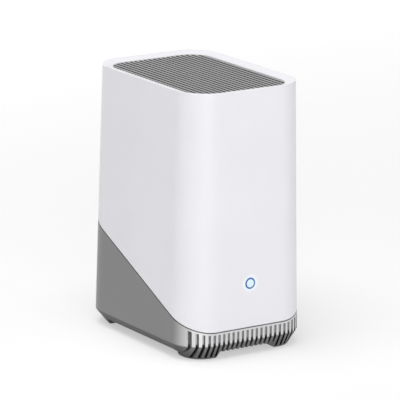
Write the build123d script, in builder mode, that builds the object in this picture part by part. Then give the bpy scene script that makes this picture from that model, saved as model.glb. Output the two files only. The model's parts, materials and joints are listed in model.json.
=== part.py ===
from build123d import *
import math
import os

os.makedirs("parts", exist_ok=True)

# Security camera base station: a white tapered sleeve on a grey wedge-shaped base with a finned front.
# X points right seen from the front, the front faces -Y, and Z points up.
# The origin is on the table, under the middle of the body. Lengths are millimetres.

# Outer form
body_height = 190.8
band_z = 10.5               # the upright walls start here, above the chamfered underside
base_half_width = 51.3      # at band_z
top_half_width = 47.5       # at body_height
base_half_depth = 70.0      # at band_z
front_lean = 0.5            # how far the front wall leans in over its height
rear_lean = 2.5
corner_radius = 23.5
wall = 2.4
overrun = 3.0               # how far every cut runs past what it cuts
fit_gap = 0.2               # between fixed pieces that fit in each other
touch_gap = 0.05            # around screws and inserts
slide_gap = 0.4             # between the tray and what guides it
turn_gap = 0.1              # around the buttons, plungers and the tray's screw

# Underside, feet and fins
foot_z = 0.3                # underside of the moulded feet
under_z = 4.8               # underside between the feet
foot_inset = 8.6            # how far the chamfer has come in at foot_z
foot_forward = 3.1          # it comes in by this much less at the front
foot_end_slope = 20.0       # of the feet's inner ends
band_fillet = 1.2           # between the upright walls and the chamfer
foot_size = (28.3, 25.5)     # from the body's sides and from its front and rear
floor_z = 9.0               # inside face of the base's floor
slot_count = 24
slot_pitch = 3.92
slot_width = 2.0
slot_drop = 1.45            # tops of the slots, below the joint and square to it
slot_depth = 2.2
vent_top_z = 12.0           # below this the slots run right through the wall
vent_depth = 5.2
foot_plate = 1.1            # solid plate under the slots in the front feet
groove_depth = 1.0
band_wall = 4.8             # wall of the base behind the fins
band_wall_top_z = 24.0
pad_size = (12.0, 7.0)
pad_radius = 3.0
pad_recess = 0.5
pad_inset = (19.3, 20.0)

# Joint between the sleeve and the base
seam_front_z = 20.0
seam_angle = 24.0
seam_gap = 0.4
lip_height = 3.0
lip_thickness = 1.3

# Roof, dish and grille of the sleeve
rim_width = 1.2
rim_fillet = 0.5
dish_depth = 1.9
dish_inset = 7.6
roof_thickness = 4.2
collar_thickness = 2.0
ledge_drop = 6.1            # from the top of the body to the ledge that carries the grille
ledge_thickness = 2.0
ledge_width = 2.2
slat_count = 20
slat_width = 2.1
slat_drop = 0.2             # tops of the slats, below the edge of the dish
grille_rib_height = 1.5
grille_rib_width = 1.6
grille_rib_count = 10
grille_rib_pitch = 12.0
grille_ring_width = 2.4
snap_length = 8.0
snap_thickness = 1.6
snap_barb = 0.8
snap_reach = 1.2
snap_y = 25.0
mesh_thickness = 0.8

# Screws: head radius, head height, shank radius, shank length
small_screw = (1.9, 1.2, 0.95, 5.0)
cross_width = 0.6
cross_depth = 0.6
boss_radius = 2.8
boss_bore = small_screw[2] + touch_gap

# Drive bay and tray, for a 2.5 inch drive up to 15 mm high
drive_size = (69.85, 100.2, 15.0)
drive_hole_spacing = (61.72, 76.6)
drive_first_hole = 14.0
drive_front_y = -42.0
drive_gap = 0.3
sheet = 1.0
tray_floor = 1.5
tray_wall = 1.5
tray_wall_height = 13.0
tray_floor_z = 12.8
tray_front_gap = 1.5
tray_window = (40.0, 9.0)
tray_window_count = 4
tray_window_pitch = 20.0
cage_top_z = 33.2
cage_front_gap = 8.6
cage_rear_gap = 9.0
cage_lip_width = 4.0
cage_wing = 5.8
cage_tab_reach = 6.8
cage_tab_length = 12.0
cage_screw_place = (3.9, 35.0)   # from the cage's side, and from the middle
cage_vent = (30.0, 3.0)
cage_vent_count = 7
cage_vent_pitch = 8.0
bezel_side = 2.2
bezel_z = (12.3, 40.8)
bezel_thickness = 2.6
bezel_gap = 0.3
bezel_reach = 20.0          # more than the corner of the wall takes up
grip_size = (34.0, 4.0)
grip_depth = 1.3
grip_z = 20.0
tray_screw_z = 37.2
tray_screw_head = (3.4, 1.6)
tray_screw_shank = 1.5
tray_screw_slot = (1.0, 0.9)
tray_screw_reach = 13.0     # from the rear of the body to the screw's end
nut_size = (10.0, 7.0)
nut_rear_gap = 8.0
grommet_radius = 3.0
grommet_bore = 1.7
grommet_flange = (4.2, 0.5)
sata_board_height = 18.0
board_thickness = 1.6
sata_size = (42.0, 6.0, 6.5)
sata_z = 15.6
sata_slot = (33.0, 4.0, 1.5)
sata_screw_place = (35.2, 22.0)
sata_strap = (22.0, 0.5)
sata_strap_low_z = 25.0
sata_strap_run = 7.0
sata_strap_gap = 0.4        # between the strap's level run and the main board, filled by its plug
strap_bend = 2.0

# Main board and what stands on it
board_z = 43.0
board_side_gap = 15.3
board_end_gaps = (18.0, 10.0)   # from the body's front and rear
standoff_radius = 2.5
standoff_place = (32.0, -45.0, 38.0)
processor_place = (0.0, -8.0)
processor_size = (17.0, 17.0, 1.6)
thermal_pad_thickness = 0.8
sink_size = (46.0, 50.0, 3.0)
fin_count = 12
fin_thickness = 1.3
fin_height = 18.0
pin_radius = 1.3
pin_place = (19.0, 21.0)    # from the middle of the heat sink
pin_head = (2.4, 1.2)
pin_clear = 3.4
memory_size = (11.0, 9.0, 1.0)
memory_places = [(-9.0, -42.0), (9.0, -42.0)]
storage_size = (11.5, 13.0, 1.0)
storage_place = (-12.0, 30.0)
can_size = (10.0, 24.0, 3.2)
can_wall = 0.3
can_places = [(-30.0, -15.0), (30.0, -15.0)]
capacitor_radius = 4.0
capacitor_height = 12.0
capacitor_places = [(8.0, 30.0), (18.0, 30.0), (28.0, 27.0)]
capacitor_ring = 0.8
coax_plug = (1.4, 1.6)
coax_place = (33.0, 14.0)
lead_plug_size = (6.0, 5.0, 4.0)
lead_plug_place = (24.0, -42.0)

# Rear ports and buttons
port_inset = 1.5
port_gap = 0.3
lan_x = 8.0
lan_size = (16.0, 21.0, 13.4)
lan_cavity = (11.8, 13.0, 6.8)
lan_cavity_rise = 1.8
lan_notch = (6.2, 2.8)
lan_pin_count = 8
lan_pin_pitch = 1.02
lan_pin_size = (0.4, 7.0, 0.4)
usb_x = -8.5
usb_size = (13.1, 14.0, 6.9)
usb_shell = 0.4
usb_depth = 10.0
usb_tongue_size = (11.2, 8.8, 1.9)
usb_tongue_drop = 0.7
power_x = 23.0
power_size = (9.0, 14.0, 11.0)
power_bore = 2.8
power_bore_depth = 9.5
power_pin_radius = 1.05
power_pin_length = 8.5
sync_x = -22.0
sync_z = 49.0
sync_radius = 4.0
sync_proud = 0.4
sync_travel = 0.4
sync_flange = (5.4, 1.2)
sync_stem_radius = 1.8
sync_dish = (2.6, 0.3)
switch_size = (6.2, 5.0, 7.4)
switch_face_gap = 11.5
plunger_radius = 1.6
plunger_inside = 1.6
plunger_proud = 1.6
reset_x = -31.0
reset_z = 47.0
reset_hole_radius = 0.9
reset_switch_size = (4.6, 3.4, 4.0)
reset_face_gap = 11.0
reset_plunger = (0.8, 1.2, 1.2)   # radius, length inside, length proud
reset_travel = 0.25

# Light ring on the front
ring_z = 52.0
ring_outer = 4.0
ring_inner = 3.0
ring_length = 4.6
ring_flange = (4.9, 1.0)
ring_cap_length = 3.6
shroud_radii = (5.1, 6.3)
led_board_gap = 8.0
led_board_size = (25.0, 1.2, 18.0)
led_size = (1.6, 0.8, 1.6)
led_orbit = 3.5
led_count = 4
led_screw_x = 9.4
led_strap = (5.0, 0.3)
led_strap_z = 46.5
led_strap_inset = 1.5       # from the main board's front edge

# Tower frame, speaker and antennas
tower_gap = 4.1             # from the top of the body's side
tower_thickness = 1.8
tower_half_depth = 24.0
deck_drop = 18.8
deck_thickness = 2.5
deck_inset = (3.0, 26.0)
deck_radius = 4.0
deck_vent_size = (60.0, 10.0)
deck_vent_y = 36.0
deck_hole_gap = 0.4
window_low_z = 45.0
window_top_drop = 60.0      # from the deck
window_half_depth = 17.0
window_radius = 5.0
tower_tab = (4.4, 10.0, 2.0)
tower_tab_y = 18.0
tower_screw_inset = 2.1
brace_drop = 44.0           # from the deck
brace_height = 12.0
brace_thickness = 2.0
housing_screw_place = (5.5, 34.0)   # from the top of the body's side, and from the middle
speaker_frame = 50.0
speaker_frame_radius = 6.0
speaker_flange = 1.8
speaker_radius = 22.0
speaker_depth = 15.0
speaker_neck = 13.5
speaker_wall = 1.0
speaker_window_count = 4
speaker_window = (9.0, 7.0)
magnet_radius = 15.0
magnet_height = 9.0
magnet_chamfer = 1.0
cone_thickness = 0.6
cone_rim = 20.0
cone_neck = 7.5
cone_drop = 8.0
surround_size = (17.6, 1.0)   # inner radius, height
gasket_height = 1.2
speaker_screw_place = 20.8
terminal_size = (7.0, 6.0, 1.6)
lead_radius = 1.1
lead_turn_shares = (0.76, 0.32)
lead_bend = 30.0
antenna_size = (0.8, 12.0, 36.0)
antenna_drop = 38.0         # from the deck
coax_cable_radius = 0.6
coax_out_gap = 0.1
coax_out_y = 4.0
coax_turn_shares = (0.6, 0.26)
coax_bend = 30.0

# Heights and places that follow from the sizes above
seam_rear_z = seam_front_z + 2 * base_half_depth * math.tan(math.radians(seam_angle))
rim_z = body_height - dish_depth
roof_under_z = body_height - roof_thickness
ledge_z = body_height - ledge_drop
deck_z = body_height - deck_drop
deck_top_z = deck_z + deck_thickness
board_top_z = board_z + board_thickness
base_wall = wall + fit_gap + lip_thickness
foot_inner_x = base_half_width - foot_size[0]
foot_inner_y = base_half_depth - foot_size[1]
pad_centre = (base_half_width - pad_inset[0], base_half_depth - pad_inset[1])
board_half_width = base_half_width - board_side_gap
board_y = (board_end_gaps[0] - base_half_depth, base_half_depth - board_end_gaps[1])
port_face_y = base_half_depth - port_inset
switch_face_y = base_half_depth - switch_face_gap
reset_face_y = base_half_depth - reset_face_gap
led_board_y = led_board_gap - base_half_depth
tower_x = (top_half_width - tower_gap - tower_thickness, top_half_width - tower_gap)
tower_screw_x = tower_x[0] - tower_screw_inset
deck_half_size = (top_half_width - deck_inset[0], base_half_depth - deck_inset[1])
window_z = (window_low_z, deck_z - window_top_drop)
brace_z = (deck_z - brace_drop - brace_height, deck_z - brace_drop)
antenna_z = deck_z - antenna_drop


def half_width_at(z):
    """Half the body's width at height z."""
    return base_half_width + (top_half_width - base_half_width) * (z - band_z) / (body_height - band_z)


def front_y_at(z):
    """The front wall's outer face at height z."""
    return front_lean * (z - band_z) / (body_height - band_z) - base_half_depth


def rear_y_at(z):
    """The rear wall's outer face at height z."""
    return base_half_depth - rear_lean * (z - band_z) / (body_height - band_z)


def chamfer_inset_at(z):
    """How far the chamfered underside has come in at height z, below band_z."""
    return foot_inset * (band_z - z) / (band_z - foot_z)


def body_form(low_z, high_z, low_inset, high_inset, low_forward=0):
    """A solid between two of the body's rounded outlines, each drawn in by its inset.
    The lower outline's front edge can be drawn in by less."""
    with BuildPart() as form:
        for z, inset, forward in ((low_z, low_inset, low_forward), (high_z, high_inset, 0)):
            front = front_y_at(z) + inset - forward
            rear = rear_y_at(z) - inset
            with BuildSketch(Plane.XY.offset(z)):
                with Locations((0, (front + rear) / 2)):
                    RectangleRounded(2 * (half_width_at(z) - inset), rear - front, corner_radius - inset)
        loft(ruled=True)
    return form.part


def block(x_range, y_range, z_range, mode=Mode.ADD):
    """A box between three pairs of coordinates, added to or cut from the active part."""
    (x0, x1), (y0, y1), (z0, z1) = x_range, y_range, z_range
    with BuildSketch(Plane.XY.offset(z0)) as profile:
        with Locations(((x0 + x1) / 2, (y0 + y1) / 2)):
            Rectangle(abs(x1 - x0), abs(y1 - y0))
    extrude(profile.sketch, amount=z1 - z0, mode=mode)


def rods(plane, places, radius, length, mode=Mode.ADD):
    """Round rods or holes from a plane, along its normal, at places given in that plane."""
    with BuildSketch(plane) as profile:
        with Locations(*places):
            Circle(radius)
    extrude(profile.sketch, amount=length, mode=mode)


def around(centre, size):
    """The low and high coordinate of something of this size on this centre."""
    return (centre - size / 2, centre + size / 2)


def spread(count, pitch):
    """Places for count copies at an even pitch, centred on zero."""
    return [(number - (count - 1) / 2) * pitch for number in range(count)]


def corners(x, y):
    """One corner place and its three mirror images."""
    return [(side * x, end * y) for side in (-1, 1) for end in (-1, 1)]


def level(z):
    """A level plane at height z."""
    return Plane.XY.offset(z)


def facing_rear(y):
    """A plane that looks to the rear, with its own X along X and its own Y down."""
    return Plane(origin=(0, y, 0), x_dir=(1, 0, 0), z_dir=(0, 1, 0))


def facing_front(y):
    """A plane that looks to the front, with its own X along X and its own Y up."""
    return Plane(origin=(0, y, 0), x_dir=(1, 0, 0), z_dir=(0, -1, 0))


def seam_plane(rise):
    """The slanted plane of the joint between sleeve and base, raised square to itself by rise."""
    slope = math.radians(seam_angle)
    joint = Plane(origin=(0, -base_half_depth, seam_front_z), x_dir=(1, 0, 0),
                  z_dir=(0, -math.sin(slope), math.cos(slope)))
    return joint.offset(rise)


def finish(sub_part, label):
    """Names a finished sub-part and writes its file."""
    sub_part.part.label = label
    export_step(sub_part.part, f"parts/{label}.step")


def pan_screw(head_radius, head_height, shank_radius, shank_length):
    """A cross-head screw standing head up: the head's seat is on the XY plane, the shank below."""
    with BuildPart() as screw:
        rods(Plane.XY, [(0, 0)], head_radius, head_height)
        fillet(screw.edges().group_by(Axis.Z)[-1], head_height / 2)
        rods(Plane.XY, [(0, 0)], shank_radius, -shank_length)
        with BuildSketch(Plane.XY.offset(head_height)):
            Rectangle(head_radius, cross_width)
            Rectangle(cross_width, head_radius)
        extrude(amount=-cross_depth, mode=Mode.SUBTRACT)
    return screw.part


def screw_group(places, head_way, label):
    """Identical small screws: each head's seat is at its place, and the head points head_way."""
    with BuildPart() as group:
        with Locations(*[Plane(origin=place, z_dir=head_way).location for place in places]):
            add(pan_screw(*small_screw))
    finish(group, label)


# Housing sleeve: white, open below along the slanted joint, with a dished roof
collar_low_z = ledge_z - ledge_thickness
collar_inset = dish_inset - collar_thickness
ledge_inset = dish_inset + ledge_width
inner_front_y = front_y_at(ring_z) + wall
sleeve_form = body_form(seam_front_z - overrun, body_height, 0, 0)
sleeve_cavity = body_form(seam_front_z - 2 * overrun, roof_under_z, wall, wall)
collar_form = body_form(collar_low_z, roof_under_z + touch_gap, collar_inset, collar_inset)
grille_well = body_form(ledge_z, body_height + overrun, dish_inset, dish_inset)
ledge_opening = body_form(collar_low_z - overrun, body_height, ledge_inset, ledge_inset)
dish_form = body_form(rim_z, body_height, dish_inset, rim_width)
housing_screw_places = corners(top_half_width - housing_screw_place[0], housing_screw_place[1])

with BuildPart() as housing_shell:
    add(sleeve_form)
    add(sleeve_cavity, mode=Mode.SUBTRACT)
    add(collar_form)
    # Four bosses under the roof take the screws of the tower frame
    rods(level(deck_top_z), housing_screw_places, boss_radius, roof_under_z + touch_gap - deck_top_z)
    for cut in (grille_well, ledge_opening, dish_form):
        add(cut, mode=Mode.SUBTRACT)
    fillet(housing_shell.edges().group_by(Axis.Z)[-1], rim_fillet)
    split(bisect_by=seam_plane(seam_gap), keep=Keep.TOP)
    rods(level(deck_top_z), housing_screw_places, boss_bore, small_screw[3], Mode.SUBTRACT)
    # Two bosses carry the board behind the light ring
    led_screw_places = [(-led_screw_x, ring_z), (led_screw_x, ring_z)]
    led_boss_length = led_board_y - inner_front_y + wall / 2
    rods(facing_front(led_board_y), led_screw_places, boss_radius, led_boss_length)
    rods(facing_front(led_board_y), led_screw_places, boss_bore, small_screw[3], Mode.SUBTRACT)
    rods(facing_front(inner_front_y + overrun), [(0, ring_z)], ring_outer + touch_gap,
         wall + 2 * overrun, Mode.SUBTRACT)
finish(housing_shell, "housing_shell")

# Top grille: slats from front to rear on a ring and cross ribs, held by four snap hooks
slat_top_z = rim_z - slat_drop
grille_inset = dish_inset + fit_gap
grille_bore_inset = grille_inset + grille_ring_width
grille_form = body_form(ledge_z, slat_top_z, grille_inset, grille_inset)
grille_bore = body_form(ledge_z - overrun, body_height, grille_bore_inset, grille_bore_inset)
snap_x = half_width_at(ledge_z) - ledge_inset - fit_gap
hook_z = collar_low_z - fit_gap

with BuildPart() as grille_ring:
    add(grille_form)
    add(grille_bore, mode=Mode.SUBTRACT)
    split(bisect_by=level(ledge_z + grille_rib_height), keep=Keep.BOTTOM)

with BuildPart() as top_grille:
    for x in spread(slat_count, slot_pitch):
        block(around(x, slat_width), (-base_half_depth, base_half_depth), (ledge_z, slat_top_z))
    for y in spread(grille_rib_count, grille_rib_pitch):
        block((-base_half_width, base_half_width), around(y, grille_rib_width),
              (ledge_z, ledge_z + grille_rib_height))
    add(grille_form, mode=Mode.INTERSECT)
    add(grille_ring.part)
    for side in (-1, 1):
        for y in (-snap_y, snap_y):
            block((side * (snap_x - snap_thickness), side * snap_x), around(y, snap_length),
                  (hook_z - snap_reach, ledge_z + grille_rib_height))
            block((side * (snap_x - snap_thickness), side * (snap_x + snap_barb)),
                  around(y, snap_length), (hook_z - snap_reach, hook_z))
finish(top_grille, "top_grille")

# Dust mesh glued under the ribs of the grille, between its hooks
mesh_inset = ledge_inset + 2 * fit_gap + snap_thickness
with BuildPart() as dust_mesh:
    add(body_form(ledge_z - mesh_thickness, ledge_z, mesh_inset, mesh_inset))
finish(dust_mesh, "dust_mesh")

# Drive bay places, used by the base, the cage and the tray
tray_inner_x = drive_size[0] / 2 + drive_gap
tray_outer_x = tray_inner_x + tray_wall
cage_inner_x = tray_outer_x + slide_gap
cage_outer_x = cage_inner_x + sheet
cage_low_z = tray_floor_z - slide_gap - sheet
cage_floor_z = cage_low_z + sheet
cage_screw_places = corners(cage_outer_x + cage_screw_place[0], cage_screw_place[1])
cage_front_y = drive_front_y - cage_front_gap
cage_rear_y = base_half_depth - cage_rear_gap
bezel_half_width = tray_outer_x + bezel_side
bezel_front_y = base_half_depth - bezel_reach
tray_screw_end_y = base_half_depth - tray_screw_reach
nut_rear_y = base_half_depth - nut_rear_gap

# Base: grey wedge with a finned front, a chamfered underside and four moulded feet
far_y = base_half_depth + overrun
base_outer = body_form(band_z, seam_rear_z + overrun, 0, 0)
chamfer_outer = body_form(foot_z, band_z, foot_inset, 0, foot_forward)
lip_outer = body_form(band_z, seam_rear_z + 2 * overrun, wall + fit_gap, wall + fit_gap)
cavity_low = body_form(floor_z, band_wall_top_z, band_wall, band_wall)
cavity_high = body_form(band_wall_top_z - touch_gap, seam_rear_z + 3 * overrun, base_wall, base_wall)
slot_low_z = under_z + groove_depth
slot_cores = [
    body_form(vent_top_z, band_wall_top_z, slot_depth, slot_depth),
    body_form(band_z, vent_top_z, vent_depth, vent_depth),
    body_form(slot_low_z, band_z, chamfer_inset_at(slot_low_z) + vent_depth, vent_depth),
]

with BuildPart() as slot_cutter:
    for x in spread(slot_count, slot_pitch):
        block(around(x, slot_width), (-far_y, -foot_inner_y), (foot_z + foot_plate, band_wall_top_z))
    split(bisect_by=seam_plane(-slot_drop), keep=Keep.BOTTOM)
    for core in slot_cores:
        add(core, mode=Mode.SUBTRACT)

with BuildPart() as lip_form:
    add(lip_outer)
    split(bisect_by=seam_plane(lip_height), keep=Keep.BOTTOM)

with BuildPart() as base_shell:
    add(base_outer)
    split(bisect_by=seam_plane(0), keep=Keep.BOTTOM)
    add(lip_form.part)
    add(chamfer_outer)
    band_edges = base_shell.edges().filter_by_position(Axis.Z, band_z - touch_gap, band_z + touch_gap)
    fillet(band_edges, band_fillet)
    with BuildSketch(level(under_z)):
        Rectangle(2 * foot_inner_x, 2 * far_y)
        Rectangle(2 * far_y, 2 * foot_inner_y)
    extrude(amount=-(under_z - foot_z + overrun), taper=-foot_end_slope, mode=Mode.SUBTRACT)
    add(cavity_low, mode=Mode.SUBTRACT)
    add(cavity_high, mode=Mode.SUBTRACT)
    add(slot_cutter.part, mode=Mode.SUBTRACT)
    # Recesses for the rubber pads
    with BuildSketch(level(foot_z - overrun)):
        with Locations(*corners(*pad_centre)):
            RectangleRounded(*pad_size, pad_radius)
    extrude(amount=overrun + pad_recess, mode=Mode.SUBTRACT)
    # Bosses that carry the cage, and their screw holes
    rods(level(floor_z - touch_gap), cage_screw_places, boss_radius, cage_low_z - floor_z + touch_gap)
    rods(level(cage_low_z), cage_screw_places, boss_bore, -small_screw[3], Mode.SUBTRACT)
    # Openings in the rear wall: the drive bay, three sockets and two buttons
    inner_rear_y = rear_y_at(seam_front_z) - 2 * band_wall
    block((-bezel_half_width, bezel_half_width), (bezel_front_y, far_y), bezel_z, Mode.SUBTRACT)
    for x, size in ((lan_x, lan_size), (usb_x, usb_size), (power_x, power_size)):
        block(around(x, size[0] + 2 * port_gap), (inner_rear_y, far_y),
              (board_top_z - port_gap, board_top_z + size[2] + port_gap), Mode.SUBTRACT)
    rods(facing_rear(inner_rear_y), [(sync_x, -sync_z)], sync_radius + turn_gap,
         far_y - inner_rear_y, Mode.SUBTRACT)
    rods(facing_rear(bezel_front_y), [(reset_x, -reset_z)], reset_hole_radius,
         far_y - bezel_front_y, Mode.SUBTRACT)
finish(base_shell, "base_shell")

# Rubber pads under the feet
with BuildPart() as foot_pads:
    with BuildSketch(Plane.XY):
        with Locations(*corners(*pad_centre)):
            RectangleRounded(pad_size[0] - 2 * touch_gap, pad_size[1] - 2 * touch_gap,
                             pad_radius - touch_gap)
    extrude(amount=foot_z + pad_recess)
finish(foot_pads, "foot_pads")

# Drive cage: folded sheet around the tray, open to the rear, on four tabs
tower_wing_x = cage_outer_x + cage_wing
with BuildPart() as drive_cage:
    block((-cage_outer_x, cage_outer_x), (cage_front_y, cage_rear_y), (cage_low_z, cage_top_z))
    block((-cage_inner_x, cage_inner_x), (cage_front_y + sheet, cage_rear_y + overrun),
          (cage_floor_z, cage_top_z - sheet), Mode.SUBTRACT)
    block((-cage_inner_x + cage_lip_width, cage_inner_x - cage_lip_width),
          (cage_front_y - overrun, cage_front_y + overrun), (cage_floor_z, cage_top_z - sheet),
          Mode.SUBTRACT)
    for y in (-cage_screw_place[1], cage_screw_place[1]):
        block((-cage_outer_x - cage_tab_reach, cage_outer_x + cage_tab_reach), around(y, cage_tab_length),
              (cage_low_z, cage_floor_z))
    block((-tower_wing_x, tower_wing_x), (-tower_half_depth, tower_half_depth),
          (cage_top_z - sheet, cage_top_z))
    for y in spread(cage_vent_count, cage_vent_pitch):
        block(around(0, cage_vent[0]), around(y, cage_vent[1]),
              (cage_top_z - sheet - overrun, cage_top_z + overrun), Mode.SUBTRACT)
    rods(level(cage_low_z - overrun), cage_screw_places, boss_bore, 2 * overrun, Mode.SUBTRACT)
    tower_screw_places = corners(tower_screw_x, tower_tab_y)
    rods(level(cage_top_z + overrun), tower_screw_places, boss_bore, -2 * overrun, Mode.SUBTRACT)
    sata_screw_places = [(-sata_screw_place[0], sata_screw_place[1]), sata_screw_place]
    rods(facing_front(cage_front_y + overrun), sata_screw_places, boss_bore, 2 * overrun, Mode.SUBTRACT)
finish(drive_cage, "drive_cage")
screw_group([(x, y, cage_floor_z) for x, y in cage_screw_places], (0, 0, 1), "cage_screws")

# Small board across the front of the cage, with the connector that the drive plugs into
sata_board_y = cage_front_y - board_thickness
with BuildPart() as sata_board:
    block((-cage_inner_x, cage_inner_x), (sata_board_y, cage_front_y),
          (tray_floor_z, tray_floor_z + sata_board_height))
    rods(facing_front(cage_front_y + overrun), sata_screw_places, boss_bore, 2 * overrun, Mode.SUBTRACT)
finish(sata_board, "sata_board")
screw_group([(x, sata_board_y, z) for x, z in sata_screw_places], (0, -1, 0), "sata_board_screws")

with BuildPart() as sata_connector:
    block(around(0, sata_size[0]), (cage_front_y, cage_front_y + sata_size[1]),
          (sata_z, sata_z + sata_size[2]))
    block(around(0, sata_slot[0]),
          (cage_front_y + sata_size[1] - sata_slot[1], cage_front_y + 2 * sata_size[1]),
          around(sata_z + sata_size[2] / 2, sata_slot[2]), Mode.SUBTRACT)
finish(sata_connector, "sata_connector")

# Flat strap from that board up to the main board
strap_y = sata_board_y - sata_strap[1] / 2
strap_z = board_z - sata_strap_gap - sata_strap[1] / 2
with BuildPart() as sata_cable:
    with BuildLine() as strap_path:
        FilletPolyline((0, strap_y, sata_strap_low_z), (0, strap_y, strap_z),
                       (0, strap_y + sata_strap_run, strap_z), radius=strap_bend)
    with BuildSketch(Plane(origin=(0, strap_y, sata_strap_low_z), x_dir=(1, 0, 0), z_dir=(0, 0, 1))):
        Rectangle(*sata_strap)
    sweep(path=strap_path.line)
    block(around(0, sata_strap[0]), (strap_y + sata_strap_run / 2, strap_y + sata_strap_run),
          (strap_z, board_z))
finish(sata_cable, "sata_cable")

# Drive tray with the bezel that closes the bay, slides out to the rear
tray_front_y = drive_front_y - tray_front_gap
bezel_low_z = bezel_z[0] + bezel_gap
bezel_high_z = bezel_z[1] - bezel_gap
bezel_x = bezel_half_width - bezel_gap
bezel_outer = body_form(band_z, seam_rear_z, 0, 0)
bezel_inner = body_form(band_z, seam_rear_z, bezel_thickness, bezel_thickness)
tray_rear_y = rear_y_at(tray_screw_z)
grommet_y = drive_front_y + drive_first_hole
grommet_places = [(side * drive_hole_spacing[0] / 2, y) for side in (-1, 1)
                  for y in (grommet_y, grommet_y + drive_hole_spacing[1])]
screw_seat_y = tray_rear_y - tray_screw_head[1]

with BuildPart() as bezel:
    block((-bezel_x, bezel_x), (bezel_front_y, far_y), (bezel_low_z, bezel_high_z))
    add(bezel_inner, mode=Mode.SUBTRACT)

with BuildPart() as drive_tray:
    block((-tray_outer_x, tray_outer_x), (tray_front_y, base_half_depth - bezel_thickness / 2),
          (tray_floor_z, tray_floor_z + tray_wall_height))
    block((-tray_inner_x, tray_inner_x), (tray_front_y - overrun, cage_rear_y),
          (tray_floor_z + tray_floor, tray_floor_z + tray_wall_height + overrun), Mode.SUBTRACT)
    block((-tray_outer_x - overrun, tray_outer_x + overrun), (cage_rear_y, far_y),
          (tray_floor_z + tray_floor, tray_floor_z + tray_wall_height + overrun), Mode.SUBTRACT)
    add(bezel.part)
    add(bezel_outer, mode=Mode.INTERSECT)
    with BuildSketch(level(tray_floor_z - overrun)):
        with Locations(*[(0, y + (tray_front_y + cage_rear_y) / 2)
                         for y in spread(tray_window_count, tray_window_pitch)]):
            RectangleRounded(*tray_window, tray_wall)
    extrude(amount=tray_floor + 2 * overrun, mode=Mode.SUBTRACT)
    rods(level(tray_floor_z - overrun), grommet_places, grommet_radius + touch_gap,
         tray_floor + 2 * overrun, Mode.SUBTRACT)
    # Finger grip, and the stepped hole of the captive screw
    block(around(0, grip_size[0]), (rear_y_at(grip_z) - grip_depth, far_y), around(grip_z, grip_size[1]),
          Mode.SUBTRACT)
    rods(facing_rear(screw_seat_y), [(0, -tray_screw_z)], tray_screw_head[0] + bezel_gap,
         tray_screw_head[1] + overrun, Mode.SUBTRACT)
    rods(facing_rear(tray_screw_end_y), [(0, -tray_screw_z)], tray_screw_shank + turn_gap,
         screw_seat_y + overrun - tray_screw_end_y, Mode.SUBTRACT)
finish(drive_tray, "drive_tray")

# Captive screw of the tray, and the nut on the cage that it turns into
with BuildPart() as tray_screw:
    rods(facing_rear(screw_seat_y), [(0, -tray_screw_z)], tray_screw_head[0],
         tray_screw_head[1] - touch_gap)
    with BuildSketch(facing_rear(tray_rear_y)):
        with Locations((0, -tray_screw_z)):
            Rectangle(2 * tray_screw_head[0], tray_screw_slot[0])
    extrude(amount=-tray_screw_slot[1], mode=Mode.SUBTRACT)
    rods(facing_rear(tray_screw_end_y), [(0, -tray_screw_z)], tray_screw_shank,
         screw_seat_y - tray_screw_end_y)
finish(tray_screw, "tray_screw")

with BuildPart() as tray_nut:
    block(around(0, nut_size[0]), (nut_rear_y - nut_size[1], nut_rear_y),
          (cage_top_z, 2 * tray_screw_z - cage_top_z))
    rods(facing_rear(nut_rear_y - nut_size[1] - overrun), [(0, -tray_screw_z)], tray_screw_shank + turn_gap,
         nut_size[1] + 2 * overrun, Mode.SUBTRACT)
finish(tray_nut, "tray_nut")

# Rubber grommets under the drive's four screw holes
with BuildPart() as drive_grommets:
    rods(level(tray_floor_z), grommet_places, grommet_radius, tray_floor)
    rods(level(tray_floor_z + tray_floor), grommet_places, *grommet_flange)
    rods(level(tray_floor_z - overrun), grommet_places, grommet_bore,
         tray_floor + 2 * overrun, Mode.SUBTRACT)
finish(drive_grommets, "drive_grommets")

# Standoffs on the cage, and the main board on them
standoff_places = [(side * standoff_place[0], y) for side in (-1, 1) for y in standoff_place[1:]]
with BuildPart() as board_standoffs:
    rods(level(cage_top_z), standoff_places, standoff_radius, board_z - cage_top_z)
    rods(level(board_z), standoff_places, boss_bore, -small_screw[3], Mode.SUBTRACT)
finish(board_standoffs, "board_standoffs")

pin_places = [(processor_place[0] + side * pin_place[0], processor_place[1] + side * pin_place[1])
              for side in (-1, 1)]
with BuildPart() as main_board:
    block((-board_half_width, board_half_width), board_y, (board_z, board_top_z))
    fillet(main_board.edges().filter_by(Axis.Z), boss_radius)
    rods(level(board_z - overrun), standoff_places, boss_bore, 2 * overrun, Mode.SUBTRACT)
    rods(level(board_z - overrun), pin_places, pin_radius + touch_gap, 2 * overrun, Mode.SUBTRACT)
finish(main_board, "main_board")
screw_group([(x, y, board_top_z) for x, y in standoff_places], (0, 0, 1), "board_screws")


def chips(places, size, label):
    """Flat packages standing on the main board."""
    with BuildPart() as group:
        for x, y in places:
            block(around(x, size[0]), around(y, size[1]), (board_top_z, board_top_z + size[2]))
    finish(group, label)


chips([processor_place], processor_size, "processor")
chips(memory_places, memory_size, "memory_chips")
chips([storage_place], storage_size, "storage_chip")
chips([lead_plug_place], lead_plug_size, "speaker_plug")

with BuildPart() as shield_cans:
    for x, y in can_places:
        block(around(x, can_size[0]), around(y, can_size[1]), (board_top_z, board_top_z + can_size[2]))
        block(around(x, can_size[0] - 2 * can_wall), around(y, can_size[1] - 2 * can_wall),
              (board_top_z - overrun, board_top_z + can_size[2] - can_wall), Mode.SUBTRACT)
finish(shield_cans, "shield_cans")

with BuildPart() as capacitors:
    rods(level(board_top_z), capacitor_places, capacitor_radius, capacitor_height)
    chamfer(capacitors.edges().group_by(Axis.Z)[-1], capacitor_ring / 2)
finish(capacitors, "capacitors")

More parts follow.
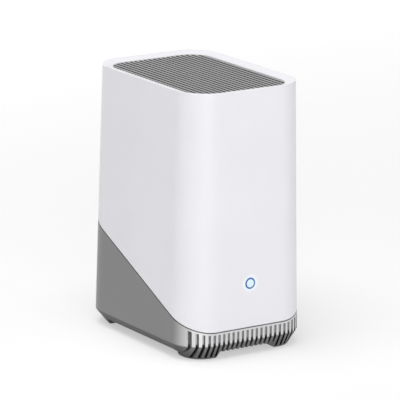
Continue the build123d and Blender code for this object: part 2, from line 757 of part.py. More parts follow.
# Heat sink on the processor, with its thermal pad and two spring pins
pad_low_z = board_top_z + processor_size[2]
sink_low_z = pad_low_z + thermal_pad_thickness
sink_top_z = sink_low_z + sink_size[2]
with BuildPart() as thermal_pad:
    block(around(processor_place[0], processor_size[0]), around(processor_place[1], processor_size[1]),
          (pad_low_z, sink_low_z))
finish(thermal_pad, "thermal_pad")

sink_y = around(processor_place[1], sink_size[1])
with BuildPart() as heat_sink:
    for x in spread(fin_count, (sink_size[0] - fin_thickness) / (fin_count - 1)):
        block(around(processor_place[0] + x, fin_thickness), sink_y, (sink_low_z, sink_top_z + fin_height))
    rods(level(sink_top_z), pin_places, pin_clear, fin_height + overrun, Mode.SUBTRACT)
    block(around(processor_place[0], sink_size[0]), sink_y, (sink_low_z, sink_top_z))
    rods(level(sink_low_z - overrun), pin_places, pin_radius + touch_gap, sink_size[2] + 2 * overrun,
         Mode.SUBTRACT)
finish(heat_sink, "heat_sink")

with BuildPart() as sink_pins:
    rods(level(board_z), pin_places, pin_radius, sink_top_z - board_z)
    rods(level(sink_top_z), pin_places, *pin_head)
finish(sink_pins, "sink_pins")

# Sockets on the rear edge of the main board
with BuildPart() as lan_socket:
    lan_y = (port_face_y - lan_size[1], port_face_y)
    lan_cavity_z = board_top_z + lan_cavity_rise + lan_notch[1]
    block(around(lan_x, lan_size[0]), lan_y, (board_top_z, board_top_z + lan_size[2]))
    block(around(lan_x, lan_cavity[0]), (port_face_y - lan_cavity[1], far_y),
          (lan_cavity_z, lan_cavity_z + lan_cavity[2]), Mode.SUBTRACT)
    block(around(lan_x, lan_notch[0]), (port_face_y - lan_cavity[1], far_y),
          (lan_cavity_z - lan_notch[1], lan_cavity_z), Mode.SUBTRACT)
finish(lan_socket, "lan_socket")

with BuildPart() as lan_contacts:
    for x in spread(lan_pin_count, lan_pin_pitch):
        block(around(lan_x + x, lan_pin_size[0]),
              (port_face_y - lan_cavity[1], port_face_y - lan_cavity[1] + lan_pin_size[1]),
              (lan_cavity_z + lan_cavity[2] - lan_pin_size[2], lan_cavity_z + lan_cavity[2]))
finish(lan_contacts, "lan_contacts")

with BuildPart() as usb_socket:
    block(around(usb_x, usb_size[0]), (port_face_y - usb_size[1], port_face_y),
          (board_top_z, board_top_z + usb_size[2]))
    block(around(usb_x, usb_size[0] - 2 * usb_shell), (port_face_y - usb_depth, far_y),
          (board_top_z + usb_shell, board_top_z + usb_size[2] - usb_shell), Mode.SUBTRACT)
finish(usb_socket, "usb_socket")

with BuildPart() as usb_tongue:
    tongue_top_z = board_top_z + usb_size[2] - usb_shell - usb_tongue_drop
    block(around(usb_x, usb_tongue_size[0]),
          (port_face_y - usb_depth, port_face_y - usb_depth + usb_tongue_size[1]),
          (tongue_top_z - usb_tongue_size[2], tongue_top_z))
finish(usb_tongue, "usb_tongue")

power_z = board_top_z + power_size[2] / 2
with BuildPart() as power_socket:
    block(around(power_x, power_size[0]), (port_face_y - power_size[1], port_face_y),
          (board_top_z, board_top_z + power_size[2]))
    rods(facing_rear(port_face_y - power_bore_depth), [(power_x, -power_z)], power_bore,
         power_bore_depth + overrun, Mode.SUBTRACT)
finish(power_socket, "power_socket")

with BuildPart() as power_pin:
    rods(facing_rear(port_face_y - power_bore_depth), [(power_x, -power_z)],
         power_pin_radius, power_pin_length)
finish(power_pin, "power_pin")

# Pairing button in the rear wall, with the small switch that it presses
button_face_y = rear_y_at(sync_z) + sync_proud
flange_rear_y = rear_y_at(sync_z) - base_wall - bezel_gap
plunger_tip_y = switch_face_y + plunger_proud
with BuildPart() as sync_button:
    rods(facing_rear(flange_rear_y), [(sync_x, -sync_z)], sync_radius, button_face_y - flange_rear_y)
    rods(facing_rear(flange_rear_y), [(sync_x, -sync_z)], sync_flange[0], -sync_flange[1])
    rods(facing_rear(plunger_tip_y + turn_gap), [(sync_x, -sync_z)], sync_stem_radius,
         flange_rear_y - sync_flange[1] - plunger_tip_y - turn_gap)
    rods(facing_rear(button_face_y), [(sync_x, -sync_z)], sync_dish[0], -sync_dish[1], Mode.SUBTRACT)
finish(sync_button, "sync_button")

with BuildPart() as sync_switch:
    block(around(sync_x, switch_size[0]), (switch_face_y - switch_size[1], switch_face_y),
          (board_top_z, board_top_z + switch_size[2]))
    rods(facing_rear(switch_face_y), [(sync_x, -sync_z)], plunger_radius + turn_gap,
         -(plunger_inside + sync_travel + bezel_gap), Mode.SUBTRACT)
finish(sync_switch, "sync_switch")

with BuildPart() as sync_plunger:
    rods(facing_rear(switch_face_y - plunger_inside), [(sync_x, -sync_z)], plunger_radius,
         plunger_inside + plunger_proud)
finish(sync_plunger, "sync_plunger")

with BuildPart() as reset_switch:
    block(around(reset_x, reset_switch_size[0]), (reset_face_y - reset_switch_size[1], reset_face_y),
          (board_top_z, board_top_z + reset_switch_size[2]))
    rods(facing_rear(reset_face_y), [(reset_x, -reset_z)], reset_plunger[0] + turn_gap,
         -(reset_plunger[1] + reset_travel + bezel_gap), Mode.SUBTRACT)
finish(reset_switch, "reset_switch")

with BuildPart() as reset_button:
    rods(facing_rear(reset_face_y - reset_plunger[1]), [(reset_x, -reset_z)], reset_plunger[0],
         reset_plunger[1] + reset_plunger[2])
finish(reset_button, "reset_button")

# Light ring in the front wall, its core and shroud, and the board with its lamps
ring_face_y = front_y_at(ring_z)
flange_face_y = inner_front_y + fit_gap
ring_back_y = ring_face_y + ring_length
ring_place = [(0, ring_z)]
with BuildPart() as light_ring:
    rods(facing_front(ring_back_y), ring_place, ring_outer, ring_length)
    rods(facing_front(flange_face_y + ring_flange[1]), ring_place, *ring_flange)
    rods(facing_front(ring_back_y + overrun), ring_place, ring_inner,
         ring_length + 2 * overrun, Mode.SUBTRACT)
finish(light_ring, "light_ring")

with BuildPart() as ring_core:
    rods(facing_front(ring_face_y + ring_cap_length), ring_place, ring_inner - touch_gap, ring_cap_length)
finish(ring_core, "ring_core")

with BuildPart() as ring_shroud:
    rods(facing_front(led_board_y), ring_place, shroud_radii[1], led_board_y - flange_face_y)
    rods(facing_front(led_board_y), ring_place, shroud_radii[0], led_board_y - flange_face_y, Mode.SUBTRACT)
finish(ring_shroud, "ring_shroud")

led_back_y = led_board_y + led_board_size[1]
led_strap_end_y = board_y[0] + led_strap_inset
with BuildPart() as led_board:
    block(around(0, led_board_size[0]), (led_board_y, led_back_y), around(ring_z, led_board_size[2]))
    rods(facing_front(led_back_y + overrun), led_screw_places, boss_bore, 2 * overrun, Mode.SUBTRACT)
finish(led_board, "led_board")
screw_group([(x, led_back_y, z) for x, z in led_screw_places], (0, 1, 0), "led_board_screws")

with BuildPart() as ring_leds:
    with BuildSketch(facing_front(led_board_y)):
        with Locations((0, ring_z)):
            with PolarLocations(led_orbit, led_count):
                Rectangle(led_size[0], led_size[2])
    extrude(amount=led_size[1])
finish(ring_leds, "ring_leds")

with BuildPart() as led_cable:
    with BuildLine() as led_path:
        FilletPolyline((0, led_back_y, led_strap_z), (0, led_strap_end_y, led_strap_z),
                       (0, led_strap_end_y, board_top_z), radius=led_strap_z - board_top_z - led_strap[1])
    with BuildSketch(Plane(origin=(0, led_back_y, led_strap_z), x_dir=(1, 0, 0), z_dir=(0, 1, 0))):
        Rectangle(*led_strap)
    sweep(path=led_path.line)
finish(led_cable, "led_cable")

# Tower frame: two side plates on the cage, braced to each other, with a deck under the roof
with BuildPart() as tower_frame:
    for side in (-1, 1):
        block((side * tower_x[0], side * tower_x[1]), (-tower_half_depth, tower_half_depth),
              (cage_top_z, deck_z))
        for y in (-tower_tab_y, tower_tab_y):
            block((side * (tower_x[0] - tower_tab[0]), side * tower_x[0]), around(y, tower_tab[1]),
                  (cage_top_z, cage_top_z + tower_tab[2]))
    with BuildSketch(Plane.YZ.offset(-tower_x[1] - overrun)):
        with Locations((0, (window_z[0] + window_z[1]) / 2)):
            RectangleRounded(2 * window_half_depth, window_z[1] - window_z[0], window_radius)
    extrude(amount=2 * (tower_x[1] + overrun), mode=Mode.SUBTRACT)
    for end in (-1, 1):
        block((-tower_x[0], tower_x[0]), (end * (tower_half_depth - brace_thickness), end * tower_half_depth),
              brace_z)
    with BuildSketch(level(deck_z)):
        RectangleRounded(2 * deck_half_size[0], 2 * deck_half_size[1], deck_radius)
        with Locations((0, -deck_vent_y), (0, deck_vent_y)):
            RectangleRounded(*deck_vent_size, deck_radius, mode=Mode.SUBTRACT)
        Circle(speaker_radius + deck_hole_gap, mode=Mode.SUBTRACT)
    extrude(amount=deck_thickness)
    rods(level(cage_top_z - overrun), tower_screw_places, boss_bore,
         2 * overrun + tower_tab[2], Mode.SUBTRACT)
    rods(level(deck_z - overrun), housing_screw_places, boss_bore,
         2 * overrun + deck_thickness, Mode.SUBTRACT)
    speaker_screw_places = corners(speaker_screw_place, speaker_screw_place)
    rods(level(deck_z - overrun), speaker_screw_places, boss_bore,
         2 * overrun + deck_thickness, Mode.SUBTRACT)
finish(tower_frame, "tower_frame")
screw_group([(x, y, cage_top_z + tower_tab[2]) for x, y in tower_screw_places], (0, 0, 1), "tower_screws")
screw_group([(x, y, deck_z) for x, y in housing_screw_places], (0, 0, -1), "housing_screws")


def speaker_plate(low_z, height, label):
    """A square plate with the speaker's hole, on the deck."""
    with BuildPart() as plate:
        with BuildSketch(level(low_z)):
            RectangleRounded(speaker_frame, speaker_frame, speaker_frame_radius)
            Circle(speaker_radius + deck_hole_gap, mode=Mode.SUBTRACT)
        extrude(amount=height)
        rods(level(low_z - overrun), speaker_screw_places, boss_bore, height + 2 * overrun, Mode.SUBTRACT)
    finish(plate, label)


# Speaker: gasket, basket, magnet, cone and surround, screwed to the deck
flange_z = deck_top_z + gasket_height
speaker_top_z = flange_z + speaker_flange
basket_low_z = speaker_top_z - speaker_depth
speaker_plate(deck_top_z, gasket_height, "speaker_gasket")

with BuildPart() as speaker_basket:
    with BuildSketch(level(flange_z)):
        RectangleRounded(speaker_frame, speaker_frame, speaker_frame_radius)
    extrude(amount=speaker_flange)
    with BuildSketch(Plane.XZ):
        with BuildLine():
            Polyline((0, speaker_top_z), (speaker_radius, speaker_top_z), (speaker_radius, deck_z),
                     (speaker_neck, basket_low_z), (0, basket_low_z), close=True)
        make_face()
    revolve(axis=Axis.Z)
    with BuildSketch(Plane.XZ):
        with BuildLine():
            Polyline((0, speaker_top_z + overrun), (speaker_radius - speaker_wall, speaker_top_z + overrun),
                     (speaker_radius - speaker_wall, deck_z),
                     (speaker_neck - speaker_wall, basket_low_z + speaker_wall),
                     (0, basket_low_z + speaker_wall), close=True)
        make_face()
    revolve(axis=Axis.Z, mode=Mode.SUBTRACT)
    for angle in spread(speaker_window_count, 360 / speaker_window_count):
        with BuildSketch(Plane.YZ.rotated((0, 0, angle))):
            with Locations((0, (deck_z + basket_low_z) / 2)):
                Rectangle(speaker_window[0], speaker_window[1] / 2)
        extrude(amount=speaker_radius, mode=Mode.SUBTRACT)
    block((speaker_neck - speaker_wall / 2, speaker_neck + terminal_size[0]), around(0, terminal_size[1]),
          (basket_low_z, basket_low_z + terminal_size[2]))
    rods(level(flange_z - overrun), speaker_screw_places, boss_bore,
         speaker_flange + 2 * overrun, Mode.SUBTRACT)
finish(speaker_basket, "speaker_basket")
screw_group([(x, y, speaker_top_z) for x, y in speaker_screw_places], (0, 0, 1), "speaker_screws")

with BuildPart() as speaker_magnet:
    rods(level(basket_low_z), [(0, 0)], magnet_radius, -magnet_height)
    chamfer(speaker_magnet.edges().group_by(Axis.Z)[0], magnet_chamfer)
finish(speaker_magnet, "speaker_magnet")

cone_rim_z = speaker_top_z - surround_size[1]
with BuildPart() as speaker_cone:
    with BuildSketch(Plane.XZ):
        with BuildLine():
            Polyline((cone_neck, cone_rim_z - cone_drop), (cone_rim, cone_rim_z),
                     (cone_rim, cone_rim_z - cone_thickness),
                     (cone_neck, cone_rim_z - cone_drop - cone_thickness), close=True)
        make_face()
        with BuildLine():
            Polyline((0, cone_rim_z - cone_drop / 2), (cone_neck, cone_rim_z - cone_drop),
                     (cone_neck, cone_rim_z - cone_drop - cone_thickness),
                     (0, cone_rim_z - cone_drop / 2 - cone_thickness), close=True)
        make_face()
    revolve(axis=Axis.Z)
finish(speaker_cone, "speaker_cone")

with BuildPart() as cone_surround:
    with BuildSketch(level(cone_rim_z)):
        Circle(speaker_radius - speaker_wall)
        Circle(surround_size[0], mode=Mode.SUBTRACT)
    extrude(amount=surround_size[1] / 2)
finish(cone_surround, "cone_surround")

with BuildPart() as speaker_lead:
    lead_start = (speaker_neck + terminal_size[0] - 2 * lead_radius, 0, basket_low_z)
    lead_end = (*lead_plug_place, board_top_z + lead_plug_size[2])
    lead_turn_z = [lead_end[2] + share * (lead_start[2] - lead_end[2]) for share in lead_turn_shares]
    with BuildLine() as lead_path:
        FilletPolyline(lead_start, (*lead_start[:2], lead_turn_z[0]),
                       (*lead_end[:2], lead_turn_z[1]), lead_end, radius=lead_bend)
    with BuildSketch(Plane(origin=lead_path.line @ 0, z_dir=lead_path.line % 0)):
        Circle(lead_radius)
    sweep(path=lead_path.line)
finish(speaker_lead, "speaker_lead")

# Antennas on the outer faces of the tower, and their leads to the main board
with BuildPart() as antennas:
    for side in (-1, 1):
        block((side * tower_x[1], side * (tower_x[1] + antenna_size[0])), around(coax_out_y, antenna_size[1]),
              (antenna_z, antenna_z + antenna_size[2]))
finish(antennas, "antennas")

coax_places = [(-coax_place[0], coax_place[1]), coax_place]
coax_out_x = tower_x[1] + coax_cable_radius + coax_out_gap
coax_low_z = board_top_z + coax_plug[1]
coax_turn_z = [coax_low_z + share * (antenna_z - coax_low_z) for share in coax_turn_shares]
with BuildPart() as coax_plugs:
    rods(level(board_top_z), coax_places, *coax_plug)
finish(coax_plugs, "coax_plugs")

with BuildPart() as coax_leads:
    for side in (-1, 1):
        with BuildLine() as coax_path:
            FilletPolyline((side * coax_out_x, coax_out_y, antenna_z),
                           (side * coax_out_x, coax_out_y, coax_turn_z[0]),
                           (side * coax_place[0], coax_place[1], coax_turn_z[1]),
                           (side * coax_place[0], coax_place[1], coax_low_z), radius=coax_bend)
        with BuildSketch(Plane(origin=coax_path.line @ 0, z_dir=coax_path.line % 0)):
            Circle(coax_cable_radius)
        sweep(path=coax_path.line)
finish(coax_leads, "coax_leads")
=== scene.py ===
# %% [markdown]
# # A camera base station, dressed in Blender
# The object is a desktop hub: a white tapered sleeve on a grey wedge-shaped base with a finned
# front. Its construction is already fixed in the frame, with every board and screw in its place.
# This lesson gives each piece its real finish, and models the large visible shells again with
# soft, moulded edges.

# %% Load the frame
import bpy
import bmesh
import json
import math
from mathutils import Matrix, Vector


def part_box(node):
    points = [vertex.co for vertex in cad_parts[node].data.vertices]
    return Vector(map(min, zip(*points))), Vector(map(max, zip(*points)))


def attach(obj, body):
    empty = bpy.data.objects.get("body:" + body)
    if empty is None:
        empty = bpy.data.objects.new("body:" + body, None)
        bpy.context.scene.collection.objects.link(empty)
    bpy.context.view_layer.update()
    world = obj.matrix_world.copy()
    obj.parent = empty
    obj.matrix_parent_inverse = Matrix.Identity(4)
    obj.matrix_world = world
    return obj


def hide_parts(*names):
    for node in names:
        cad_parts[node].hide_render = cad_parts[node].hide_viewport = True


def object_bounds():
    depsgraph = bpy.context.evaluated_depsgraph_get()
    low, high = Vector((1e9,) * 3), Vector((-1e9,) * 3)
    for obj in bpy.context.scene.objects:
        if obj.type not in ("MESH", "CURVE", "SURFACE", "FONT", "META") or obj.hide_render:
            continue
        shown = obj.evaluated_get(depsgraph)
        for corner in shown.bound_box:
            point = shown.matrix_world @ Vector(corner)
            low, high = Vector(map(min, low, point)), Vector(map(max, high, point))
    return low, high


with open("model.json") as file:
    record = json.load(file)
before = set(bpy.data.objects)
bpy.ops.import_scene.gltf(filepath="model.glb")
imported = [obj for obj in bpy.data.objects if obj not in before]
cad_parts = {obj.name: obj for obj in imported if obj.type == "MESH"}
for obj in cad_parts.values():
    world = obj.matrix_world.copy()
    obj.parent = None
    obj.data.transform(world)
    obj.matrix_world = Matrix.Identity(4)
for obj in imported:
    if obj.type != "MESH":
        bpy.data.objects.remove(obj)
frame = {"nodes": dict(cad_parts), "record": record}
cad_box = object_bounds()
nodes = frame["nodes"]

# %% [markdown]
# ## Sizes that several steps share
# The sleeve and the base follow one outline: straight walls with large rounded corners. The joint
# between them is one slanted plane. These sizes could be typed wherever they are used, but then
# the paint and the shapes could drift apart. So they are named once, and read from the frame's own
# boxes where it gives them.

# %% Shared sizes
MM = 0.001
base_low, base_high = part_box("base_shell")
front_y = base_low.y
rear_y = base_high.y
base_half_width = base_high.x
body_height = cad_box[1].z
corner_radius = 23.5 * MM
seam_front_z = 20.0 * MM
seam_angle = math.radians(24.0)
middle = Vector((0, 0, body_height / 2))
print("base", round(2 * base_half_width / MM, 1), "x", round((rear_y - front_y) / MM, 1), "mm")

# %% [markdown]
# ## The camera
# The photograph was taken from the front left, a little above the object, with a long lens. A
# camera can be aimed with a Track To constraint, but that can't hold the slight roll of the
# picture, so the turn is built from three directions. The camera comes first, and every later
# choice can then be judged in its view.

# %% Camera
camera_azimuth = -33.2
camera_elevation = 14.3
camera_distance = 2510 * MM
camera_roll = math.radians(0.48)
camera_lens = 317.5
sensor_width = 36
far_clip = 20
view_side = 2.6 * MM
view_rise = 1.42 * MM


def way_to(azimuth, elevation):
    """The direction from the object to a place, by its azimuth and elevation in degrees."""
    a, e = math.radians(azimuth), math.radians(elevation)
    return Vector((math.sin(a) * math.cos(e), -math.cos(a) * math.cos(e), math.sin(e)))


back = way_to(camera_azimuth, camera_elevation)
right = way_to(camera_azimuth + 90, 0)
up = back.cross(right)
target = middle + right * view_side + up * view_rise
rolled_right = right * math.cos(camera_roll) + up * math.sin(camera_roll)
rolled_up = up * math.cos(camera_roll) - right * math.sin(camera_roll)

bpy.ops.object.select_all(action="DESELECT")
bpy.ops.object.camera_add(location=target + back * camera_distance)
camera = bpy.context.object
camera.name = "station_camera"
camera.data.lens = camera_lens
camera.data.sensor_width = sensor_width
camera.data.clip_end = far_clip
camera.rotation_euler = Matrix((rolled_right, rolled_up, back)).transposed().to_euler()
bpy.context.scene.camera = camera
print("camera at", [round(c, 3) for c in camera.location])

# %% [markdown]
# ## Studio light
# The room is a white studio. Its lamps are soft squares: one near the camera's side, a large one
# above, and weaker ones on the right and behind. Small lamps would draw hard shadows, which the
# photograph doesn't have, and light from all sides alike would leave no shades at all.

# %% Lights


def soft_light(name, azimuth, elevation, distance, size, power):
    """A square soft light that looks at the object's middle, in degrees, metres and watts."""
    way = way_to(azimuth, elevation)
    bpy.ops.object.light_add(type="AREA", location=middle + way * distance)
    light = bpy.context.object
    light.name = name
    light.data.size = size
    light.data.energy = power
    light.rotation_euler = way.to_track_quat("Z", "Y").to_euler()


soft_light("key_light", azimuth=-25, elevation=13, distance=1.5, size=0.8, power=8.3)
soft_light("right_fill", azimuth=45, elevation=14, distance=1.5, size=0.8, power=2.6)
soft_light("top_light", azimuth=-70, elevation=76, distance=1.6, size=1.2, power=19.5)
soft_light("back_fill", azimuth=180, elevation=12, distance=1.7, size=1.0, power=6.0)
bpy.context.scene.view_settings.view_transform = "Standard"

# %% [markdown]
# ## Small tools for shader nodes
# Every material and the studio need the same few nodes: a ramp that maps one range to another, a
# product, a mix of two colours, and a step of vector maths. They could be added and linked one by
# one each time. A helper for each keeps the later cells short enough to read.

# %% Node helpers
black = (0, 0, 0, 1)
white = (1, 1, 1, 1)


def ramp(tree, source, low, high, to_low=0.0, to_high=1.0, smooth=False):
    """Maps a value from low..high to to_low..to_high, with soft ends if smooth."""
    node = tree.nodes.new("ShaderNodeMapRange")
    if smooth:
        node.interpolation_type = "SMOOTHSTEP"
    for socket, value in (("From Min", low), ("From Max", high),
                          ("To Min", to_low), ("To Max", to_high)):
        node.inputs[socket].default_value = value
    tree.links.new(source, node.inputs["Value"])
    return node.outputs["Result"]


def combined(tree, operation, first, second):
    """One value from two, such as their product or the larger one."""
    node = tree.nodes.new("ShaderNodeMath")
    node.operation = operation
    tree.links.new(first, node.inputs[0])
    tree.links.new(second, node.inputs[1])
    return node.outputs[0]


def mixed(tree, factor, first, second):
    """Two colours mixed by a factor. Each is four numbers or the output of another node."""
    node = tree.nodes.new("ShaderNodeMix")
    node.data_type = "RGBA"
    tree.links.new(factor, node.inputs["Factor"])
    for name, colour in (("A", first), ("B", second)):
        if isinstance(colour, bpy.types.NodeSocket):
            tree.links.new(colour, node.inputs[name])
        else:
            node.inputs[name].default_value = colour
    return node.outputs["Result"]


def vector_step(tree, operation, vector, other=None):
    """One step of vector maths. other is a fixed vector, where the operation needs a second."""
    node = tree.nodes.new("ShaderNodeVectorMath")
    node.operation = operation
    tree.links.new(vector, node.inputs[0])
    if other is not None:
        node.inputs[1].default_value = other
    return node.outputs["Value" if operation in ("LENGTH", "DOT_PRODUCT") else "Vector"]


def object_place(tree):
    """The coordinates of the surface, in metres in the object's own frame."""
    return tree.nodes.new("ShaderNodeTexCoord").outputs["Object"]


print("node helpers", [tool.__name__ for tool in (ramp, combined, mixed, vector_step)])

# %% [markdown]
# ## The white room
# The background is pure white, but a world that bright would also flood the object with light. The
# Light Path node tells the rays apart: those of the camera, and those that a glossy or clear
# surface sends on, meet a white world, and the rays that only carry light meet a dim one.

# %% World
world_light = 0.26
world_white = 1.0


def seen_directly(tree):
    """1 for the rays that show the background, 0 for those that only light the object."""
    rays = tree.nodes.new("ShaderNodeLightPath")
    seen = rays.outputs["Is Camera Ray"]
    for kind in ("Is Glossy Ray", "Is Transmission Ray"):
        seen = combined(tree, "MAXIMUM", seen, rays.outputs[kind])
    return seen


world = bpy.data.worlds.new("studio")
bpy.context.scene.world = world
world.use_nodes = True
world_tree = world.node_tree
sky = world_tree.nodes["Background"]
sky.inputs["Color"].default_value = white
sky_strength = ramp(world_tree, seen_directly(world_tree), 0, 1, world_light, world_white)
world_tree.links.new(sky_strength, sky.inputs["Strength"])
print("world lights at", world_light, "and shows at", world_white)

# %% [markdown]
# ## The floor
# In the photograph the floor fades to white and keeps only a soft shadow under the object. A plain
# white floor would be either too grey or too bright. This one is a pale grey that takes the
# shadow, with a glow on top that grows with the distance from the object and that only the camera
# and the reflections see.

# %% Floor
floor_size = 40.0
floor_lit = (0.86, 0.86, 0.86, 1)
floor_shown = (0.47, 0.47, 0.47, 1)
floor_roughness = 0.9
glow_near, glow_far = 0.15, 1.8
glow_least, glow_most = 0.47, 0.75

bpy.ops.object.select_all(action="DESELECT")
bpy.ops.mesh.primitive_plane_add(size=floor_size, location=(0, 0, 0))
floor = bpy.context.object
floor.name = "studio_floor"
floor_paint = bpy.data.materials.new("floor_paint")
floor_paint.use_nodes = True
floor_tree = floor_paint.node_tree
floor_shader = floor_tree.nodes["Principled BSDF"]
floor_seen = seen_directly(floor_tree)
floor_tone = mixed(floor_tree, floor_seen, floor_lit, floor_shown)
floor_tree.links.new(floor_tone, floor_shader.inputs["Base Color"])
floor_shader.inputs["Roughness"].default_value = floor_roughness
floor_shader.inputs["Emission Color"].default_value = white
floor_distance = vector_step(floor_tree, "LENGTH", object_place(floor_tree))
floor_glow = ramp(floor_tree, floor_distance, glow_near, glow_far, glow_least, glow_most,
                  smooth=True)
floor_glow = combined(floor_tree, "MULTIPLY", floor_glow, floor_seen)
floor_tree.links.new(floor_glow, floor_shader.inputs["Emission Strength"])
floor.data.materials.append(floor_paint)
print("floor", floor_size, "m wide")

# %% [markdown]
# ## Effects that the finishes share
# Moulded plastic, lacquer and sheet metal never have one even tone. Three node groups give all the
# finishes their fine detail: a grain for moulded and sprayed surfaces, a slow drift of tone over a
# whole piece, and a brushed streak for metal. Each is a noise texture at its own scale. The same
# nodes could be laid out again in every material, but a group is built once and changed in one
# place. It reads a vector, so each material chooses its own coordinates.

# %% Grain, drift and streak
grain_scale = 2500.0
drift_scale = 18.0
streak_scale = 900.0
streak_stretch = (0.03, 1.0, 1.0)


def noise_group(name, scale, detail, low, high, stretch=None):
    """A group that puts out a noise as a Height, and spread over low..high as a Shade."""
    group = bpy.data.node_groups.new(name, "ShaderNodeTree")
    group.interface.new_socket(name="Vector", in_out="INPUT", socket_type="NodeSocketVector")
    scale_socket = group.interface.new_socket(name="Scale", in_out="INPUT",
                                              socket_type="NodeSocketFloat")
    scale_socket.default_value = scale
    for output in ("Height", "Shade"):
        group.interface.new_socket(name=output, in_out="OUTPUT", socket_type="NodeSocketFloat")
    start = group.nodes.new("NodeGroupInput")
    end = group.nodes.new("NodeGroupOutput")
    vector = start.outputs["Vector"]
    if stretch is not None:
        vector = vector_step(group, "MULTIPLY", vector, stretch)
    noise = group.nodes.new("ShaderNodeTexNoise")
    noise.inputs["Detail"].default_value = detail
    group.links.new(vector, noise.inputs["Vector"])
    group.links.new(start.outputs["Scale"], noise.inputs["Scale"])
    group.links.new(noise.outputs["Fac"], end.inputs["Height"])
    group.links.new(ramp(group, noise.outputs["Fac"], low, high), end.inputs["Shade"])
    return group


fine_grain = noise_group("fine_grain", grain_scale, detail=3.0, low=0.3, high=0.7)
tone_drift = noise_group("tone_drift", drift_scale, detail=2.0, low=0.35, high=0.65)
brushed_streak = noise_group("brushed_streak", streak_scale, detail=2.0, low=0.3, high=0.7,
                             stretch=streak_stretch)
print("node groups", [group.name for group in bpy.data.node_groups])

# %% [markdown]
# ## How a finish is made
# Each material slot of the object gets its own finish: two near tones that the drift mixes, a
# roughness that the grain varies, and a small bump. A single flat colour would look like a
# drawing. What is the same all over a piece, such as metallic or coat, is set on the shader
# itself.

# %% A finish from two tones, a roughness range and a bump
finishes = {}


def finish(name, dark, light, rough, bump=0.05, bump_distance=0.02 * MM,
           scale=grain_scale, effect=None, **plain):
    """A material with drifting tone, varied roughness and a bump. plain sets sockets directly."""
    material = bpy.data.materials.new(name)
    material.use_nodes = True
    tree = material.node_tree
    shader = tree.nodes["Principled BSDF"]
    place = object_place(tree)
    drift = tree.nodes.new("ShaderNodeGroup")
    drift.node_tree = tone_drift
    tree.links.new(place, drift.inputs["Vector"])
    detail = tree.nodes.new("ShaderNodeGroup")
    detail.node_tree = effect or fine_grain
    if effect is None:
        detail.inputs["Scale"].default_value = scale
    tree.links.new(place, detail.inputs["Vector"])
    tone = mixed(tree, drift.outputs["Shade"], (*dark, 1), (*light, 1))
    tree.links.new(tone, shader.inputs["Base Color"])
    roughness = ramp(tree, detail.outputs["Shade"], 0, 1, *rough)
    tree.links.new(roughness, shader.inputs["Roughness"])
    relief = tree.nodes.new("ShaderNodeBump")
    relief.inputs["Strength"].default_value = bump
    relief.inputs["Distance"].default_value = bump_distance
    tree.links.new(detail.outputs["Height"], relief.inputs["Height"])
    tree.links.new(relief.outputs["Normal"], shader.inputs["Normal"])
    for socket, value in plain.items():
        shader.inputs[socket.replace("_", " ")].default_value = value
    finishes[name] = material


print("a finish mixes", tone_drift.name, "and", fine_grain.name, "or", brushed_streak.name)

# %% [markdown]
# ## Finishes of the visible pieces
# The sleeve is satin white plastic with a thin clear coat. The base is a sprayed metallic grey,
# and the grille a matt grey plastic over a black mesh. The light ring is blue plastic that glows
# a little, round a pale disc. Picking their colours straight from the photograph would count its
# light twice, so the tones were matched in rendered pictures, under this studio's light.

# %% Shell, base, grille and ring
finish("white_shell", (0.775, 0.770, 0.805), (0.790, 0.785, 0.820), (0.34, 0.42), bump=0.06,
       Coat_Weight=0.15, Coat_Roughness=0.25)
finish("grey_base", (0.230, 0.230, 0.230), (0.240, 0.240, 0.240), (0.42, 0.48), bump=0.10,
       Metallic=1.0)
finish("grille_grey", (0.275, 0.275, 0.275), (0.305, 0.305, 0.303), (0.45, 0.55), bump=0.10)
finish("mesh_black", (0.012, 0.012, 0.013), (0.025, 0.025, 0.026), (0.8, 0.95), bump=0.4,
       bump_distance=0.2 * MM, scale=1800.0)
finish("ring_glow", (0.010, 0.090, 0.300), (0.014, 0.110, 0.340), (0.30, 0.40),
       Emission_Color=(0.02, 0.11, 0.34, 1), Emission_Strength=0.25)
finish("ring_white", (0.66, 0.78, 0.82), (0.70, 0.82, 0.86), (0.34, 0.42),
       Emission_Color=(0.50, 0.90, 1.0, 1), Emission_Strength=0.06)
print("finishes", list(finishes))

# %% [markdown]
# ## Finishes of the plastics and rubbers
# The frame, the sockets' bodies, the cables, the pads and the speaker's cone are dark. In real
# products these blacks differ mostly in how rough they are: rubber and paper are dull, moulded
# plastic has a satin shine. So their tones are near each other, and roughness and bump set them
# apart. Only the heat pad and the small lamps are light.

# %% Dark plastics, rubber, paper and pads
finish("black_plastic", (0.018, 0.018, 0.019), (0.030, 0.030, 0.031), (0.42, 0.55), bump=0.12)
finish("frame_plastic", (0.050, 0.050, 0.054), (0.070, 0.070, 0.074), (0.45, 0.6), bump=0.12)
finish("rubber", (0.020, 0.020, 0.021), (0.035, 0.035, 0.036), (0.7, 0.85), bump=0.25)
finish("chip_black", (0.018, 0.018, 0.019), (0.030, 0.030, 0.032), (0.45, 0.6), bump=0.2)
finish("cone_paper", (0.016, 0.016, 0.017), (0.028, 0.028, 0.029), (0.75, 0.9), bump=0.4)
finish("cable_black", (0.018, 0.018, 0.019), (0.028, 0.028, 0.029), (0.5, 0.65), bump=0.12)
finish("thermal_pad", (0.28, 0.34, 0.46), (0.34, 0.40, 0.52), (0.7, 0.85), bump=0.2)
finish("led_lamp", (0.80, 0.78, 0.62), (0.90, 0.88, 0.74), (0.25, 0.35))
print("finishes", len(finishes))

# %% [markdown]
# ## Finishes of the metals and boards
# Sheet steel, sockets and the heat sink show the streaks of rolling and brushing, so they use the
# streak in place of the grain. A picture of brushed metal would repeat, and a noise stretched
# along one way never does. Turned parts such as screws, nuts and contacts keep the grain. The
# boards are green lacquer with a clear coat.

